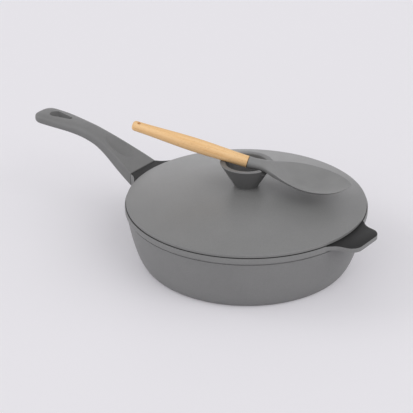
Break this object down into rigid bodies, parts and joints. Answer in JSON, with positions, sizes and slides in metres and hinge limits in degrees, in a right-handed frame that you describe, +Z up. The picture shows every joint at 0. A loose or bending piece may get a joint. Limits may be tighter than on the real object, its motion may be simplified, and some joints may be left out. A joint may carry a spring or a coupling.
{
  "type": "saute pan with lid",
  "caption": "Deep round saute pan with a long handle, a short helper handle, a domed lid and a cup-shaped knob that holds a cooking spoon.",
  "frame": {"origin": "centre of the base's underside, on the surface that the pan stands on", "axes": "+Z up, +X towards the short helper handle, -X along the long handle, +Y completes the right hand"},
  "size_m": [0.4822, 0.28, 0.1594],
  "materials": {
    "coated_aluminium": "grey satin coating",
    "handle_plastic": "matte grey",
    "knob_plastic": "matte grey",
    "steel": "brushed",
    "brass": "plain turned",
    "silicone": "matte grey",
    "beech": "oiled",
    "core_nylon": "plain moulded"
  },
  "bodies": {
    "pan": {"pan_body": "coated_aluminium", "induction_disc": "steel", "handle_grip": "handle_plastic", "handle_screw": "steel", "handle_lock_washer": "steel", "handle_threaded_insert": "steel"},
    "lid": {"lid_shell": "coated_aluminium", "lid_knob": "knob_plastic", "knob_gasket": "silicone", "knob_screw": "steel", "knob_washer": "steel", "knob_threaded_insert": "brass"},
    "spoon": {"spoon_handle": "beech", "spoon_head": "silicone", "spoon_core": "core_nylon"}
  },
  "joints": [
    {"name": "lid_lift", "type": "slide", "parent": "pan", "child": "lid", "axis": [0, 0, 1], "range_m": [0, 0.15]},
    {"name": "spoon_lift", "type": "slide", "parent": "lid", "child": "spoon", "axis": [0, 0, 1], "range_m": [0, 0.12]}
  ]
}
